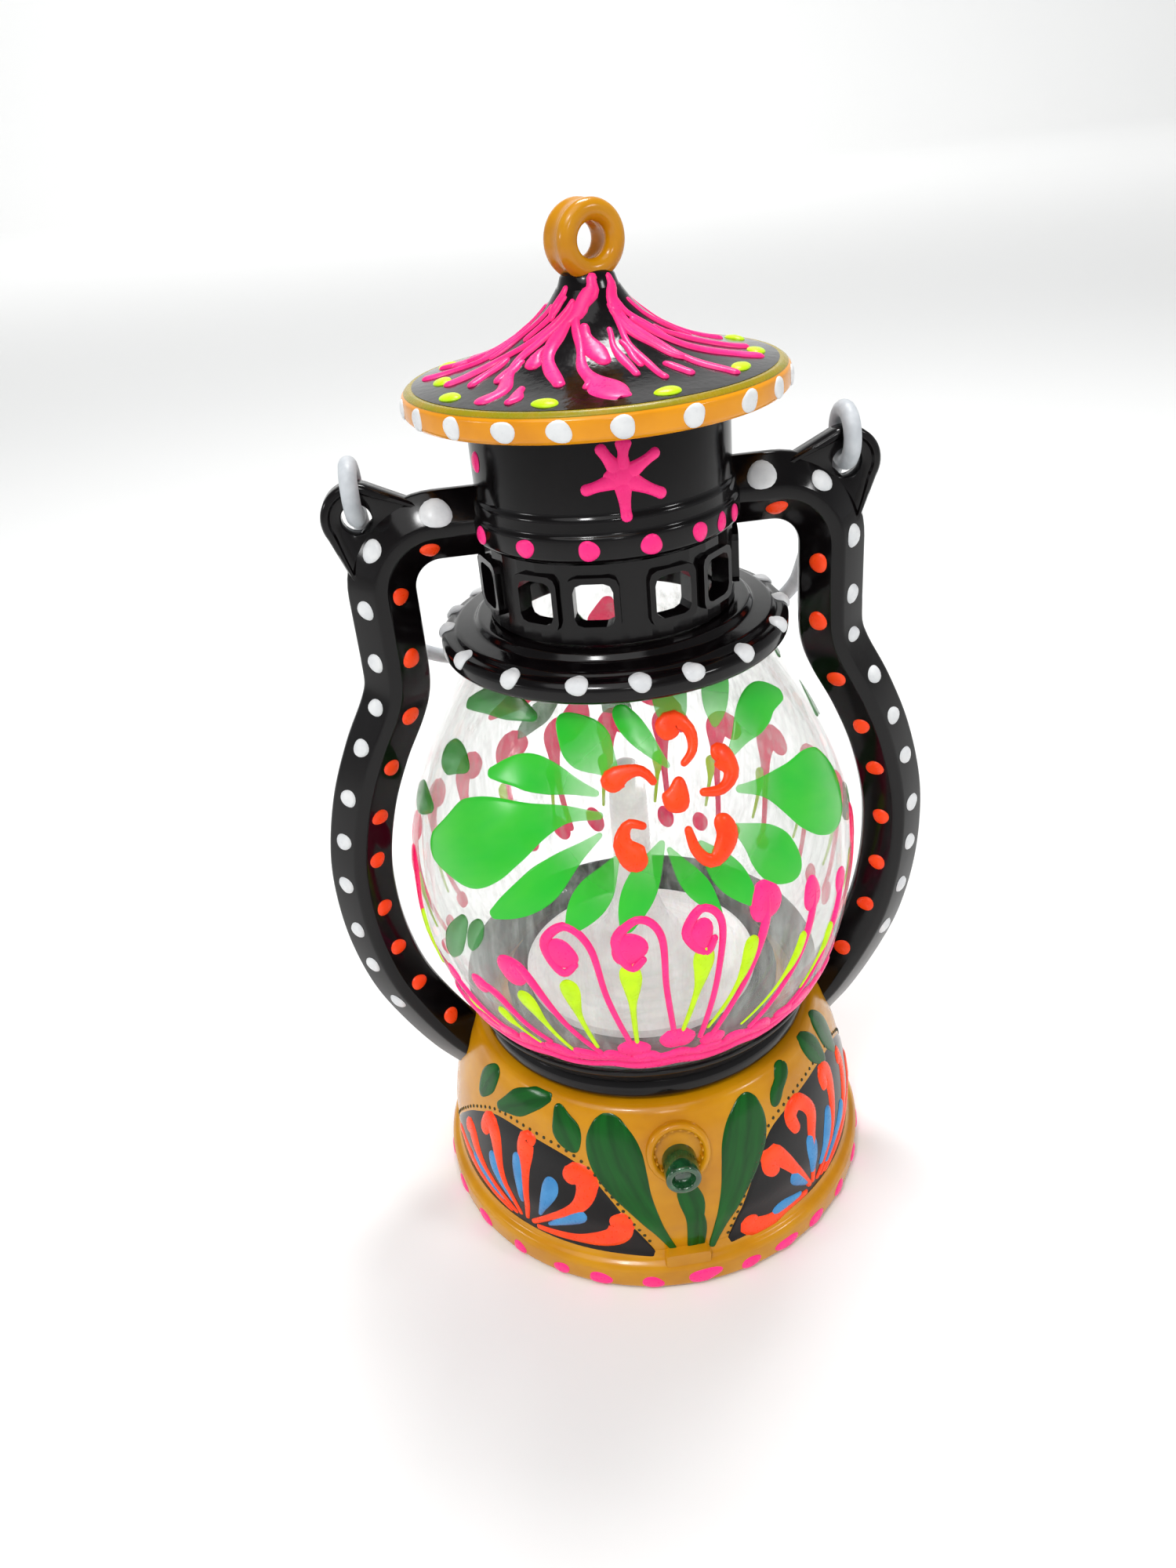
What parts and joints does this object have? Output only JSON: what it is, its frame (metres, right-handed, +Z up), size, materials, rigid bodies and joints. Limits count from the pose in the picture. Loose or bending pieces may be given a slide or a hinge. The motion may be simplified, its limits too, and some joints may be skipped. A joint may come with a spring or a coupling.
{
  "type": "hurricane lantern",
  "caption": "Miniature hand-painted plastic hurricane lantern with clear egg-shaped globe, flared roof, side arms, wire bail and battery LED inside.",
  "frame": {"origin": "middle of the flat underside, on the surface that the lantern stands on", "axes": "+Z up through the hanging ring; -Y is the front, with the knob; +X towards the lantern's left arm as the lantern faces, on the viewer's right"},
  "size_m": [0.0822, 0.064, 0.1333],
  "materials": {
    "black_plastic": "gloss black with painted dots",
    "mustard_plastic": "gloss mustard yellow with painted leaves and panels",
    "green_plastic": "gloss dark green",
    "clear_plastic": "clear moulded polystyrene, painted outside",
    "frosted_plastic": "frosted white",
    "grey_plastic": "matte grey",
    "steel": "bright steel",
    "board": "circuit board green",
    "led_lens": "warm clear epoxy",
    "wire": "pale grey coated wire"
  },
  "bodies": {
    "lantern": {"base_shell": "mustard_plastic", "wick_knob": "green_plastic", "cover_screw_1": "steel", "cover_screw_2": "steel", "cover_screw_3": "steel", "bottom_cover": "black_plastic", "battery_cradle": "black_plastic", "coin_cell_1": "steel", "coin_cell_2": "steel", "coin_cell_3": "steel", "contact_plate": "steel", "contact_spring": "steel", "switch_body": "black_plastic", "led_board": "board", "led": "led_lens", "burner_plate": "black_plastic", "diffuser": "frosted_plastic", "seat_ring": "black_plastic", "globe": "clear_plastic", "flange": "black_plastic", "window_collar": "black_plastic", "drum": "black_plastic", "arm_left": "black_plastic", "arm_right": "black_plastic", "roof": "black_plastic", "rim_band": "mustard_plastic", "top_ring": "mustard_plastic"},
    "bail": {"bail": "wire"},
    "hatch": {"battery_door": "black_plastic", "door_screw": "steel"},
    "switch": {"switch_slider": "grey_plastic"}
  },
  "joints": [
    {"name": "bail_swing", "type": "hinge", "parent": "lantern", "child": "bail", "pos_m": [0, 0, 0.1054], "axis": [1, 0, 0], "range_deg": [0, 282]},
    {"name": "hatch_out", "type": "slide", "parent": "lantern", "child": "hatch", "axis": [0, 0, -1], "range_m": [0, 0.02]},
    {"name": "switch_slide", "type": "slide", "parent": "lantern", "child": "switch", "axis": [1, 0, 0], "range_m": [0, 0.003]}
  ]
}
